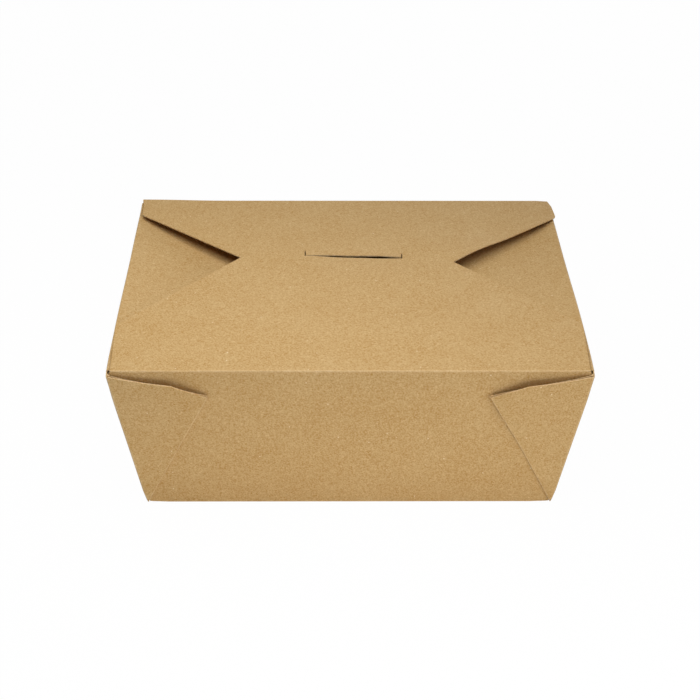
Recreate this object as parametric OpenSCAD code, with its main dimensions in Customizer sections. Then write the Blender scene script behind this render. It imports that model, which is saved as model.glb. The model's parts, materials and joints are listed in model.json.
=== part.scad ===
// Folded paperboard takeaway box, stored closed with its tab in the slit.
// One die-cut board makes the base, four walls that lean outwards, four
// two-layer corner webs folded flat against the long walls, two side flaps,
// a slit flap and a tab flap. Sizes in millimetres, measured between creases
// at the middle of the board. X runs along the long walls, the tab flap
// hinges on the wall at -Y, and Z is up from the face the box stands on.

/* [Carton] */
// Length of the base between its end creases
base_w = 151; // [135:1:165]
// Depth of the base between its long creases
base_d = 121; // [110:1:132]
// Height of the long walls, from the table to the rim crease
height = 63; // [50:1:80]
// How far the rim stands out past the base on every side
flare = 10.5; // [7:0.5:13]

/* [Board] */
// Thickness of the board
board = 0.45; // [0.35:0.05:0.6]
// How much thinner the board is where it is scored
score = 0.02; // [0.01:0.01:0.04]
// Radius on the inside of each scored crease
crease_r = 0.2; // [0.1:0.05:0.4]
// Air left between the layers of a folded corner web
layer_gap = 0.25; // [0.15:0.05:0.5]

/* [Corner webs] */
// Length of a web's diagonal crease, from the base corner to its tip
web_tip = 58; // [50:1:62]
// Half the straight cut across the tip of an unfolded web
web_tip_half = 14; // [9:0.5:18]
// How far a web stops below the rim at its corner
web_drop = 1.6; // [1.2:0.1:3]

/* [Tab flap] */
// Side of the flap before it turns in towards the tab
tab_flap_side = 34; // [20:1:42]
// Flare of that side beyond the crease
tab_flap_flare = 1.6; // [0:0.1:2.4]
// Half width of the flap where its slanting side ends
shoulder_half = 38; // [30:0.5:46]
// Board beyond the tab crease at the outer end of a shoulder
shoulder_low = 2; // [1:0.25:3.5]
// Board beyond the tab crease beside the tab
shoulder_high = 5.2; // [4:0.1:7]
// Width of the tab
tab_w = 38; // [28:1:46]
// Length of the tab below its crease
tab_l = 12; // [8:0.5:16]
// Shift of the tab and slit from the centre line
tab_shift = 2; // [-3:0.5:3]

/* [Slit flap] */
// Distance from the flap's crease to the tab crease above it
slit_from_crease = 54; // [48:1:60]
// Board left between the slit and the free edge
slit_margin = 13; // [9:0.5:18]
// Side of the flap before it turns in
slit_flap_side = 14.3; // [8:0.5:22]
// Flare of that side beyond the crease
slit_flap_flare = 0.8; // [0:0.1:2]
// Cut back of this flap's root from the corner of the rim
slit_flap_inset = 0.5; // [0.3:0.1:2]
// Half width of the flap at its free edge
slit_flap_tip_half = 31; // [28:0.5:38]
// Clearance between the tab and each side of the slit
slit_clearance = 0.35; // [0.2:0.05:0.6]

/* [Side flaps] */
// Length of a side flap
side_flap_l = 60; // [46:1:66]
// Half width of a side flap at its free edge
side_flap_tip_half = 50; // [38:1:58]
// Angle at which a closed side flap dips into the box
side_flap_dip = 7; // [4:0.5:10]

/* [Fit] */
// Distance of the side flaps' creases below the main rim
rim_step = 0.85; // [0.75:0.05:1.2]
// Air between the slit flap and the tab flap over it
lap_gap = 0.3; // [0.2:0.05:0.5]
// Cut back of the tab flap's and side flaps' roots from the corner of the rim
root_inset = 1.9; // [1.5:0.1:2.6]
// Air between the hinge edge of the tab flap and its wall
hinge_gap = 0.12; // [0.08:0.01:0.2]
// Air at each relief cut beside the tab
relief_gap = 0.25; // [0.15:0.05:0.4]

/* [Hidden] */

KRAFT = [0.74, 0.60, 0.40];
KRAFT_LIGHT = [0.80, 0.66, 0.46];

// Facets on each bend of the board, and on a rounded corner of an outline
bend_steps = 6;
corner_steps = 8;
// Each bend is drawn with a flat leg on both sides, and the panels join it halfway down the leg
leg = 1.2;
seam = leg / 2;
// Corner radii of the outlines
tab_flap_r = 3;
shoulder_r = 6;
tab_r = 4;
slit_flap_r = 3;
side_flap_r = 12;
// Least height of the corner webs, so that only the base meets the table
web_lift = 0.1;
// A prism this tall or wide passes right through a panel
through = 20;

base_z = board / 2;
rise = height - base_z;
lean = atan(flare / rise);
slant = norm([flare, rise]);
top_w = base_w + 2 * flare;
top_d = base_d + 2 * flare;

// In the plane of a wall, its side edge leans out by this angle
edge_lean = atan(flare / slant);
edge_l = norm([flare, slant]);
// A web folds flat when its crease halves the angle left for it at the base corner
web_lean = 45 - 2 * edge_lean;
// Angle between the outward faces of two walls that meet
wall_turn = acos(pow(sin(lean), 2));

// A scored bend is thinner than the panels that it joins, so its legs end inside them,
// and of two bends that meet one is thinner again
crease_board = board - score;
corner_board = board - 2 * score;
web_bend_board = board - 3 * score;
bend_r = crease_r + board / 2;
pitch = board + layer_gap;
end_slant = slant - rim_step / cos(lean);

tab_reach = top_d - slit_from_crease;
slit_flap_l = slit_from_crease + slit_margin;
lap_rise = board + lap_gap;
tab_flap_tilt = asin(lap_rise / tab_reach);
// The tab keeps both its ends at one distance from the hinge, so that it swings out of the slit
tab_arc = 2 * asin(tab_l / (2 * tab_reach));
tab_sag = tab_reach * (1 - cos(tab_arc / 2));

function unit(v) = v / norm(v);
function left_of(v) = [-v[1], v[0]];
function side_of(a, b) = sign(a[0] * b[1] - a[1] * b[0]);
function polar(r, angle) = r * [cos(angle), sin(angle)];
function heading(v) = atan2(v[1], v[0]);
function reversed(list) = [for (i = [len(list) - 1 : -1 : 0]) list[i]];
function setback(r, turn) = r * tan(turn / 2);
function past_bend(turn) = setback(bend_r, turn) + seam;

// Where the line through p along d crosses the line through q along e
function crossing(p, d, q, e) =
    let (t = ((q[0] - p[0]) * e[1] - (q[1] - p[1]) * e[0]) / (d[0] * e[1] - d[1] * e[0]))
    p + t * d;

// One side of a folded board: the path moved left by off, with every corner an arc
function board_side(path, r, off) = [
    for (i = [0 : len(path) - 1])
        if (i == 0)
            path[0] + off * left_of(unit(path[1] - path[0]))
        else if (i == len(path) - 1)
            path[i] + off * left_of(unit(path[i] - path[i - 1]))
        else
            let (
                d = unit(path[i] - path[i - 1]),
                e = unit(path[i + 1] - path[i]),
                s = side_of(d, e),
                turn = acos(d * e),
                centre = path[i] - setback(r, turn) * d + s * r * left_of(d),
                start = heading(d) - s * 90
            )
            for (k = [0 : bend_steps])
                centre + polar(r - s * off, start + s * turn * k / bend_steps)
];

// Cross-section of a board folded along a path, with bends of middle radius r
function board_section(path, r, thick) =
    concat(board_side(path, r, thick / 2), reversed(board_side(path, r, -thick / 2)));

// An outline whose corners are rounded by the radius that each point gives as [x, y, r]
function rounded(points) = [
    for (i = [0 : len(points) - 1])
        let (
            n = len(points),
            here = [points[i][0], points[i][1]],
            before = [points[(i + n - 1) % n][0], points[(i + n - 1) % n][1]],
            after = [points[(i + 1) % n][0], points[(i + 1) % n][1]],
            r = points[i][2],
            d = unit(here - before),
            e = unit(after - here),
            s = side_of(d, e),
            turn = acos(d * e),
            centre = here - setback(r, turn) * d + s * r * left_of(d),
            start = heading(d) - s * 90
        )
        for (k = [0 : (r == 0 ? 0 : corner_steps)])
            r == 0 ? here : centre + polar(r, start + s * turn * k / corner_steps)
];

function mirrored(points) = [for (p = points) [-p[0], p[1], p[2]]];
function both_sides(points) = concat(points, reversed(mirrored(points)));

// A flat panel of board, drawn in its own plane
module panel(outline) {
    linear_extrude(board, center = true) polygon(outline);
}

// A board bent along a path in the plane across a crease that runs along Y
module bend_along_y(path, r, thick, length) {
    rotate([90, 0, 0]) mirror([0, 0, 1]) linear_extrude(length) polygon(board_section(path, r, thick));
}

// A crease along X, where the board on the -Y side turns up by an angle
module crease(turn, length) {
    reach = setback(bend_r, turn) + leg;
    path = [[-reach, 0], [0, 0], polar(reach, turn)];
    rotate([90, 0, 90]) linear_extrude(length, center = true) polygon(board_section(path, bend_r, crease_board));
}

// Places a wall at a base crease that lies out along Y, with its own Y up the slope and Z inwards
module at_wall(distance) {
    translate([0, distance, base_z]) rotate([90 - lean, 0, 0]) children();
}

// Places a flap at the rim of a wall, with its own Y away from the crease
module at_rim(distance, wall_slant, turn) {
    at_wall(distance) translate([0, wall_slant, 0]) rotate([turn, 0, 0]) children();
}

module on_long_sides() {
    for (turn = [0, 180]) rotate([0, 0, turn]) children();
}

module on_end_sides() {
    for (turn = [90, -90]) rotate([0, 0, turn]) children();
}

module base() {
    cut = past_bend(90 - lean);
    w = base_w / 2 - cut;
    d = base_d / 2 - cut;
    translate([0, 0, base_z]) panel([[-w, -d], [w, -d], [w, d], [-w, d]]);
}

// Height up the slope at which the webs leave the corner of the walls
web_corner_y = (edge_l - web_drop) * cos(edge_lean);

// A long wall ends where its corner webs begin to turn outwards
module long_wall(wall_slant, root) {
    bottom = past_bend(90 - lean);
    cut = inner_cut / cos(edge_lean);
    low = base_w / 2 - cut + bottom * tan(edge_lean);
    high = base_w / 2 - cut + web_corner_y * tan(edge_lean);
    at_wall(base_d / 2) panel([
        [-low, bottom], [low, bottom], [high, web_corner_y],
        [root, wall_slant], [-root, wall_slant], [-high, web_corner_y],
    ]);
    translate([0, base_d / 2, base_z]) crease(90 - lean, base_w - 2 * board);
}

// An end wall runs on past the long walls, to wrap round them into the outer webs
module end_wall() {
    bottom = past_bend(90 - lean);
    top = end_slant - past_bend(90 + lean + side_flap_dip);
    wrap = wrap_edge / cos(edge_lean);
    low = base_d / 2 + bottom * tan(edge_lean);
    high = base_d / 2 + wrap + web_corner_y * tan(edge_lean);
    root = top_d / 2 - root_inset;
    at_wall(base_w / 2) panel([
        [-low, bottom], [low, bottom], [low + wrap, bottom + wrap],
        [high, web_corner_y - rim_step], [root, top], [-root, top],
        [-high, web_corner_y - rim_step], [-low - wrap, bottom + wrap],
    ]);
    translate([0, base_w / 2, base_z]) crease(90 - lean, base_d);
}

// The bend that carries an end wall round into the outer layer of a web
wrap_r = pitch;
wrap_edge = 2 * pitch / sin(wall_turn) - setback(wrap_r, wall_turn) - seam;

// Distances in from a corner at which the wall and the two layers of a web begin
inner_cut = 1.5 * pitch + seam;
outer_cut = 2 * pitch / tan(wall_turn) + setback(wrap_r, wall_turn) + seam;

// Points of a web, from the base corner at the origin, with the crease leaning to -X
web_crease = [-sin(web_lean), cos(web_lean)];
web_across = [cos(web_lean), sin(web_lean)];
web_edge = [sin(edge_lean), cos(edge_lean)];
web_inward = [-cos(edge_lean), sin(edge_lean)];
web_m = web_tip * web_crease;
web_k = web_m + web_tip_half * web_across;
web_t = (edge_l - web_drop) * web_edge;

// Outline of one layer of a web, cut back from the corner edge by corner_cut
function web_layer(corner_cut) =
    let (
        p = corner_cut * web_inward,
        q = (pitch / 2 + seam) * web_across
    )
    [
        crossing(p, web_edge, q, web_crease),
        crossing(p, web_edge, web_k, web_t - web_k),
        web_k,
        web_m + q,
    ];

// All that lies over an outline, to both sides of its plane or only below a level
module over(outline, top = through / 2) {
    translate([0, 0, top - through]) linear_extrude(through) polygon(outline);
}

// The bends along a corner of the box: the long wall turns back into the inner layer
// of the web, and the end wall turns round them into its outer layer
module corner_bends() {
    u_leg = 1.5 * pitch + leg;
    u_turn = [[-u_leg, 0], [-pitch, 0], [-pitch, -pitch], [-u_leg, -pitch]];
    out = [-cos(wall_turn), -sin(wall_turn)];
    wrap_at = 2 * pitch / sin(wall_turn) * out;
    wrap_leg = setback(wrap_r, wall_turn) + leg;
    rotate([0, 0, -edge_lean]) {
        bend_along_y(u_turn, pitch / 2, corner_board, edge_l);
        bend_along_y([wrap_at - wrap_leg * out, wrap_at, wrap_at - [wrap_leg, 0]], wrap_r, corner_board, edge_l);
    }
}

// The bend along the diagonal crease of a web, which joins its two layers
module web_bend() {
    u_leg = pitch / 2 + leg;
    u_turn = [[u_leg, -pitch], [0, -pitch], [0, -2 * pitch], [u_leg, -2 * pitch]];
    rotate([0, 0, web_lean]) bend_along_y(u_turn, pitch / 2, web_bend_board, web_tip);
}

// One corner web, drawn in the plane of the long wall with the base corner at the origin
module web() {
    fold = pitch / 4 * web_across;
    corner = pitch / 2 * web_inward;
    ahead = through * unit(web_t - web_k);
    top = web_t - [0, score];
    translate([0, 0, -pitch]) panel(web_layer(inner_cut));
    translate([0, 0, -2 * pitch]) panel(web_layer(outer_cut));
    difference() {
        intersection() {
            corner_bends();
            over([[-through, 0], [through, 0], top + ahead, top - ahead]);
        }
        over([fold, fold + web_tip * web_crease, [-web_tip, web_tip], [-web_tip, 0]], -pitch / 2);
    }
    intersection() {
        web_bend();
        over([corner, corner + edge_l * web_edge, [-web_tip, edge_l], [-web_tip, corner[1]]]);
    }
}

// What lies above a plane that rises at 45 degrees from the foot of a long wall. Cut to it,
// each layer of a corner starts higher than the one behind it, and the base alone meets the table
module foot_room() {
    translate([-top_w, base_d / 2, web_lift]) rotate([45, 0, 0]) translate([0, -height, 0])
        cube([2 * top_w, 3 * height, 2 * height]);
}

module corner_webs() {
    on_long_sides() intersection() {
        at_wall(base_d / 2) for (side = [0, 1])
            mirror([side, 0, 0]) translate([base_w / 2, 0, 0]) web();
        foot_room();
    }
}

module side_flap() {
    turn = 90 + lean + side_flap_dip;
    root = top_d / 2 - root_inset;
    start = past_bend(turn);
    at_rim(base_w / 2, end_slant, turn) panel(rounded(both_sides([
        [root, start, 0], [root, start + leg, 0],
        [side_flap_tip_half, side_flap_l, side_flap_r],
    ])));
    at_wall(base_w / 2) translate([0, end_slant, 0]) crease(turn, 2 * root);
}

module slit_flap() {
    turn = 90 + lean;
    root = top_w / 2 - slit_flap_inset;
    start = past_bend(turn);
    slit_low = slit_from_crease - board / 2 - slit_clearance;
    slit_high = slit_from_crease + board / 2 + tab_sag + slit_clearance;
    slit_half = tab_w / 2 + slit_clearance;
    difference() {
        at_rim(base_d / 2, slant, turn) panel(rounded(both_sides([
            [root, start, 0],
            [root + slit_flap_flare, slit_flap_side, slit_flap_r],
            [slit_flap_tip_half, slit_flap_l, slit_flap_r],
        ])));
        translate([tab_shift - slit_half, top_d / 2 - slit_high, height - through / 2])
            cube([2 * slit_half, slit_high - slit_low, through]);
    }
    at_wall(base_d / 2) translate([0, slant, 0]) crease(turn, 2 * root);
}

module carton() {
    color(KRAFT) union() {
        base();
        long_wall(slant - past_bend(90 + lean), top_w / 2 - slit_flap_inset);
        rotate([0, 0, 180]) long_wall(slant - board / 2 - hinge_gap, top_w / 2 - root_inset);
        on_end_sides() {
            end_wall();
            side_flap();
        }
        slit_flap();
        corner_webs();
    }
}

// The tab, bent down at its crease, with a narrowing end
module tab() {
    half = tab_w / 2;
    end = tab_l + board;
    drop = [tab_reach * cos(tab_arc), -tab_reach * sin(tab_arc)];
    intersection() {
        rotate([90, 0, 90]) linear_extrude(tab_w, center = true)
            polygon(board_section([[tab_reach - shoulder_high, 0], [tab_reach, 0], drop], bend_r, board));
        translate([0, tab_reach - through, 0]) rotate([-90, 0, 0]) linear_extrude(2 * through)
            polygon(rounded([
                [-half, -leg, 0], [half, -leg, 0], [half, leg, 0],
                [half - tab_r / 2, end, tab_r], [-half + tab_r / 2, end, tab_r], [-half, leg, 0],
            ]));
    }
}

module tab_flap() {
    root = top_w / 2 - root_inset;
    cut = tab_w / 2 + relief_gap;
    notch = tab_reach - setback(bend_r, 90 + tab_arc / 2);
    outline = [
        [root, 0, 0],
        [root + tab_flap_flare, tab_flap_side, tab_flap_r],
        [shoulder_half, tab_reach + shoulder_low, shoulder_r],
        [cut + tab_shift, tab_reach + shoulder_high, 0],
        [cut + tab_shift, notch, 0],
        [-cut + tab_shift, notch, 0],
        [-cut + tab_shift, tab_reach + shoulder_high, 0],
        [-shoulder_half, tab_reach + shoulder_low, shoulder_r],
        [-root - tab_flap_flare, tab_flap_side, tab_flap_r],
        [-root, 0, 0],
    ];
    color(KRAFT_LIGHT) translate([0, -top_d / 2, height]) rotate([tab_flap_tilt, 0, 0]) {
        rotate([0, 90, 0]) cylinder(d = board, h = 2 * root, center = true, $fn = 32);
        panel(rounded(outline));
        translate([tab_shift, 0, 0]) tab();
    }
}

carton();
tab_flap();
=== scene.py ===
"""A closed kraft paperboard takeaway box, folded up panel by panel as the real one is.

The sheet is modelled at the middle of the board, one quarter first: base, end wall, corner web and
half a long wall. The quarter is mirrored, the flaps grow from the rims, and the sheet gets its
thickness last. The tab flap is a sheet of its own that turns about the front crease.
Lengths are in metres, X runs along the long walls and the tab flap's wall is at -Y.
"""

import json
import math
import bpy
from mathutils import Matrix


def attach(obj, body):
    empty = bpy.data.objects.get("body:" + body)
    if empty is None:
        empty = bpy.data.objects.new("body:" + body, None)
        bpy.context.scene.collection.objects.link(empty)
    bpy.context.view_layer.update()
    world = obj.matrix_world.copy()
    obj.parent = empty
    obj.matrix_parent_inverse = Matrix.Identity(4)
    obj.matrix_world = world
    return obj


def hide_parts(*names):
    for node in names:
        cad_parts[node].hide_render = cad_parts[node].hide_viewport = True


bl_info = {
    "name": "Kraft Takeaway Box",
    "version": (1, 0, 0),
    "blender": (4, 5, 0),
    "location": "3D Viewport > Sidebar > Takeaway Box",
    "description": "Folds a kraft paperboard takeaway box over its packed solids and lights it",
    "category": "Object",
}

import bmesh
import bpy
from mathutils import Matrix, Vector

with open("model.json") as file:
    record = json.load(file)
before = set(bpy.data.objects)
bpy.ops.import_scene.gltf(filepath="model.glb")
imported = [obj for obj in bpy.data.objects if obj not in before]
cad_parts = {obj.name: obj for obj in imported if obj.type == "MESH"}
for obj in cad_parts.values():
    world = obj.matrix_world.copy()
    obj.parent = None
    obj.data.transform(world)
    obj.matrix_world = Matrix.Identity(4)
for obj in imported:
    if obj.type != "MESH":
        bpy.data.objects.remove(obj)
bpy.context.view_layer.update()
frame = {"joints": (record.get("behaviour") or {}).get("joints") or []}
HINGE = Vector(frame["joints"][0]["pos_m"])
MM = 0.001

# How near a point has to lie to a place to be the one looked for there
NEAR = 0.02 * MM
# Breadth of the lighter strip along both sides of the front crease: partly stretched fibres, partly a
# painted highlight
FOLD_HIGHLIGHT_STRIP = 0.25 * MM
# Breadth of the cuts that free the sides of the tab
RELIEF = 0.4 * MM
# Radius of the flaps' corners, of the tab's and of the side flaps'
CORNER_ROUND = 3 * MM
TAB_ROUND = 4 * MM
SIDE_ROUND = 12 * MM
# How much less a web's crease leans than in an exact fold of the corner
WEB_EASE = math.radians(1.1)
# The materials of the board, in the order of a sheet's slots
MATERIALS = ("kraft_face", "kraft_fold_fibres_and_highlight", "kraft_cut_edge")
# What the pattern of the board can be told beside its colour
PATTERN_INPUTS = ("Clouds", "Grain", "Fibres", "Flecks", "Roughness")


def length_setting(name, description, default):
    """A length that a user can change."""
    return bpy.props.FloatProperty(
        name=name, description=description, default=default, unit="LENGTH", precision=6
    )


def pair_setting(name, description, default):
    """A length on the left and one on the right."""
    return bpy.props.FloatVectorProperty(
        name=name, description=description, default=default, size=2, unit="LENGTH", precision=6
    )


def colour_setting(name, description, default):
    """A colour of the board."""
    return bpy.props.FloatVectorProperty(
        name=name, description=description, default=default, size=3, subtype="COLOR"
    )


def power_setting(name, description, default):
    """The power of a lamp."""
    return bpy.props.FloatProperty(
        name=name, description=description, default=default, unit="POWER"
    )


class BoardSettings(bpy.types.PropertyGroup):
    """The board that the box is folded from"""

    thickness: length_setting("Thickness", "Thickness of the board", 0.00045)
    pitch: length_setting(
        "Layer pitch", "Distance between the middles of two layers that are folded together", 0.0007
    )
    bend: length_setting("Bend radius", "Radius of a crease at the middle of the board", 0.000425)
    grid: length_setting("Grid", "Spacing of the cuts that let a panel curl", 0.006)


class BoxSettings(bpy.types.PropertyGroup):
    """The base, the walls and the corner webs"""

    base_width: length_setting("Base width", "Length of the base between its end creases", 0.151)
    base_depth: length_setting("Base depth", "Depth of the base between its long creases", 0.121)
    height: length_setting("Height", "Height of the long walls' rim crease", HINGE.z)
    flare: length_setting("Flare", "How far the rim stands out past the base", 0.0105)
    rim_step: length_setting(
        "Rim step", "How far the side flaps' creases lie below the main rim", 0.00085
    )
    web_tip: length_setting("Web crease", "Length of a corner web's diagonal crease", 0.0588)
    web_tip_half: length_setting(
        "Web tip cut", "Half the straight cut across the tip of an unfolded web", 0.014
    )
    web_drop: length_setting("Web drop", "How far a web stops below the rim at its corner", 0.0016)
    web_sink: length_setting(
        "Web sink", "How far the inner layer of a web stops below the outer one", 0.003
    )
    web_foot: length_setting(
        "Web foot", "Height at which the layers of a web begin above the base corner", 0.0026
    )


class FlapSettings(bpy.types.PropertyGroup):
    """The flaps that close the top"""

    tab_root: length_setting("Tab flap root", "Half width of the tab flap at its crease", 0.0841)
    tab_side: length_setting("Tab flap side", "Length of the flap's side before it turns in", 0.033)
    tab_flare: length_setting("Tab flap flare", "Flare of that side beyond the crease", 0.0016)
    shoulders: pair_setting(
        "Shoulders",
        "Distance of the left and right shoulder corner from the centre line",
        (0.0396, 0.0347),
    )
    shoulder_length: length_setting(
        "Shoulder length", "How far the shoulders run on past the tab crease beside the tab", 0.0056
    )
    tab_width: length_setting("Tab width", "Width of the tab that goes into the slit", 0.038)
    tab_length: length_setting("Tab length", "Length of the tab below its crease", 0.012)
    tab_shift: length_setting("Tab shift", "Shift of the tab and slit from the centre line", 0.002)
    slit_distance: length_setting(
        "Slit distance", "Distance of the tab crease from the back rim", 0.054
    )
    slit_gap: length_setting("Slit gap", "Width of the slit behind the tab crease", 0.0015)
    slit_side: length_setting(
        "Slit flap side", "Length of the slit flap's side before it turns in", 0.0166
    )
    slit_length: length_setting(
        "Slit flap length", "Length of the slit flap from its crease to its free edge", 0.067
    )
    slit_tips: pair_setting(
        "Slit flap tips",
        "Distance of the left and right end of its free edge from the centre line",
        (0.0278, 0.0322),
    )
    side_root: length_setting("Side flap root", "Half width of a side flap at its crease", 0.0691)
    side_length: length_setting("Side flap length", "Length of a side flap", 0.060)
    side_tip: length_setting("Side flap tip", "Half width of a side flap at its free edge", 0.050)
    lap: length_setting("Lap rise", "Height of the tab flap over the slit flap at the slit", 0.00075)


class KraftSettings(bpy.types.PropertyGroup):
    """The colours of the board"""

    face: colour_setting("Face", "Colour of the board's smooth faces", (0.570, 0.365, 0.153))
    # The fold colour is lighter partly from stretched fibres and partly as a painted highlight of the
    # rounded creases
    fold: colour_setting(
        "Fold", "Colour of the board where a crease stretches its fibres", (0.640, 0.435, 0.210)
    )
    edge: colour_setting("Cut edge", "Colour of a cut edge", (0.650, 0.455, 0.235))


class StageSettings(bpy.types.PropertyGroup):
    """The camera and the light"""

    camera_place: bpy.props.FloatVectorProperty(
        name="Camera",
        description="Where the camera stands",
        default=(-0.0063, -0.5599, 0.3533),
        size=3,
        subtype="TRANSLATION",
        unit="LENGTH",
    )
    camera_lens: bpy.props.FloatProperty(
        name="Lens",
        description="Focal length on a 36 mm sensor",
        default=83.61,
        subtype="DISTANCE_CAMERA",
    )
    top_power: power_setting("Top light", "Power of the soft light over the box", 0.9)
    right_power: power_setting("Right light", "Power of the low light in front on the right", 2.4)
    floor_power: power_setting(
        "Floor light", "Power of the light on the floor in front of the box", 0.91
    )
    floor_right_power: power_setting(
        "Right floor light", "Power of the light on the floor in front on the right", 0.13
    )
    back_power: power_setting("Back light", "Power of the fill light behind the box", 2.9)
    room: bpy.props.FloatProperty(
        name="Room",
        description="Strength of the even light of the room",
        default=0.07,
        min=0,
        max=1,
        subtype="FACTOR",
    )


def start_sheet(name, corners):
    """Adds a plane, moves its four corners into place and stays in edit mode."""
    bpy.ops.object.select_all(action="DESELECT")
    bpy.ops.mesh.primitive_plane_add(size=2 * MM, location=(0, 0, 0))
    sheet = bpy.context.object
    sheet.name = name
    sheet.data.name = name
    bpy.ops.object.mode_set(mode="EDIT")
    signs = ((-1, -1), (1, -1), (1, 1), (-1, 1))
    for (x, y), goal in zip(signs, corners):
        here = Vector((x * MM, y * MM, 0))
        pick_points(sheet, [here])
        bpy.ops.transform.translate(value=goal - here)
    return sheet


def pick(sheet, kind, test):
    """Selects the vertices, edges or faces that pass a test, and returns how many there are."""
    bpy.ops.mesh.select_mode(type=kind)
    mesh = bmesh.from_edit_mesh(sheet.data)
    for parts in (mesh.faces, mesh.edges, mesh.verts):
        for part in parts:
            part.select_set(False)
    if kind == "FACE":
        mesh.normal_update()
    parts = {"VERT": mesh.verts, "EDGE": mesh.edges, "FACE": mesh.faces}[kind]
    found = [part for part in parts if test(part)]
    for part in found:
        part.select_set(True)
    bmesh.update_edit_mesh(sheet.data)
    return len(found)


def pick_points(sheet, places, reach=NEAR):
    """Selects the vertices that lie at the given places."""

    def wanted(vert):
        return any((vert.co - place).length < reach for place in places)

    found = pick(sheet, "VERT", wanted)
    if found < len(places):
        raise RuntimeError(f"{sheet.name} has only {found} of the {len(places)} points looked for")


def pick_edges(sheet, row):
    """Selects the edges that join neighbours in a row of places."""

    def wanted(edge):
        a, b = (vert.co for vert in edge.verts)
        return any(
            max((a - start).length, (b - end).length) < NEAR
            or max((b - start).length, (a - end).length) < NEAR
            for start, end in zip(row, row[1:])
        )

    found = pick(sheet, "EDGE", wanted)
    if found < len(row) - 1:
        raise RuntimeError(f"{sheet.name} has only {found} of the {len(row) - 1} edges looked for")


def nearest_vertex(mesh, place):
    """The vertex of an edited mesh that lies nearest to a place."""
    return min(mesh.verts, key=lambda vert: (vert.co - place).length)


def apply_modifier(sheet, kind, **settings):
    """Adds a modifier, sets it up and applies it."""
    bpy.ops.object.modifier_add(type=kind)
    modifier = sheet.modifiers[-1]
    for name, value in settings.items():
        setattr(modifier, name, value)
    bpy.ops.object.modifier_apply(modifier=modifier.name)


def grow(sheet, row, goals):
    """Extrudes a row of edges into a new panel and carries each end to its goal."""
    pick_edges(sheet, row)
    step = goals[0] - row[0]
    bpy.ops.mesh.extrude_edges_move(TRANSFORM_OT_translate={"value": step})
    for place, goal in zip(row[1:], goals[1:]):
        if (goal - place - step).length > 1e-9:
            pick_points(sheet, [place + step], reach=1e-6)
            bpy.ops.transform.translate(value=goal - place - step)
    return goals


def fold(sheet, row, centre, axis, angle, steps):
    """Spins a row of edges round an axis into a rounded crease and returns its far row."""
    pick_edges(sheet, row)
    bpy.ops.mesh.spin(steps=steps, angle=-angle, center=centre, axis=axis)
    turn = Matrix.Rotation(angle, 3, axis)
    return [centre + turn @ (place - centre) for place in row]


def cut_across(sheet, place, normal, test):
    """Cuts the faces that pass a test along a plane."""
    if pick(sheet, "FACE", test):
        bpy.ops.mesh.bisect(plane_co=place, plane_no=normal, threshold=1e-6)


def round_corner(sheet, place, radius):
    """Rounds a corner of the sheet's outline."""
    mesh = bmesh.from_edit_mesh(sheet.data)
    corner = nearest_vertex(mesh, place)
    sides = [
        (edge.other_vert(corner).co - corner.co).normalized()
        for edge in corner.link_edges
        if edge.is_boundary
    ]
    turn = math.pi - sides[0].angle(sides[1])
    pick_points(sheet, [corner.co.copy()], reach=1e-7)
    bpy.ops.mesh.bevel(
        offset=radius * math.tan(turn / 2), affect="VERTICES", segments=8, profile=0.5
    )


def pull(sheet, place, move, reach):
    """Moves the board at a place and, less and less, up to a reach from it, in millimetres."""
    mesh = bmesh.from_edit_mesh(sheet.data)
    start = nearest_vertex(mesh, place).co.copy()
    farthest = 6 * MM
    if (start - place).length > farthest:
        raise RuntimeError(f"{sheet.name} has no board near {tuple(place)}")
    pick_points(sheet, [start], reach=1e-7)
    bpy.ops.transform.translate(
        value=Vector(move) * MM,
        use_proportional_edit=True,
        use_proportional_connected=True,
        proportional_edit_falloff="SMOOTH",
        proportional_size=reach * MM,
    )


def mirror_sheet(sheet):
    """Mirrors a quarter across both centre planes and applies the modifier."""
    bpy.ops.object.mode_set(mode="OBJECT")
    apply_modifier(sheet, "MIRROR", use_axis=(True, True, False), merge_threshold=1e-5)
    bpy.ops.object.mode_set(mode="EDIT")
    bpy.ops.mesh.select_all(action="SELECT")
    bpy.ops.mesh.remove_doubles(threshold=5e-6)


class Fold:
    """Directions and places of the creases, worked out from the settings."""

    def __init__(self, board, box):
        self.z0 = board.thickness / 2
        self.half_w = box.base_width / 2
        self.half_d = box.base_depth / 2
        rise = box.height - self.z0
        self.lean = math.atan2(box.flare, rise)
        self.slant = math.hypot(box.flare, rise)
        self.edge_lean = math.atan2(box.flare, self.slant)
        self.web_lean = math.pi / 4 - 2 * self.edge_lean - WEB_EASE
        self.bend = board.bend
        self.pitch = board.pitch
        self.base_turn = math.pi / 2 - self.lean
        self.setback = self.bend * math.tan(self.base_turn / 2)
        sin, cos = math.sin(self.lean), math.cos(self.lean)
        self.corner = Vector((self.half_w, -self.half_d, self.z0))
        self.front_up = Vector((0, -sin, cos))
        self.front_out = Vector((0, -cos, -sin))
        self.end_up = Vector((sin, 0, cos))
        self.end_out = Vector((cos, 0, -sin))
        self.edge = (self.front_up + Vector((math.tan(self.edge_lean), 0, 0))).normalized()
        se, ce = math.sin(self.edge_lean), math.cos(self.edge_lean)
        self.front_across = Vector((ce, 0, 0)) - se * self.front_up
        self.end_across = Vector((0, ce, 0)) + se * self.end_up
        self.wall_turn = math.acos(self.front_across.dot(self.end_across))
        sw, cw = math.sin(self.web_lean), math.cos(self.web_lean)
        self.web_crease = Vector((-sw, 0, 0)) + cw * self.front_up
        self.web_across = Vector((cw, 0, 0)) + sw * self.front_up

    def on_front(self, up):
        """A place in the middle of the front wall, up its slope."""
        return Vector((0, -self.half_d, self.z0)) + up * self.front_up

    def on_end(self, up):
        """A place in the middle of the right end wall, up its slope."""
        return Vector((self.half_w, 0, self.z0)) + up * self.end_up

    def front_slope(self, place):
        """How far up the front wall's slope a place lies."""
        return (place - self.corner).dot(self.front_up)


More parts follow.
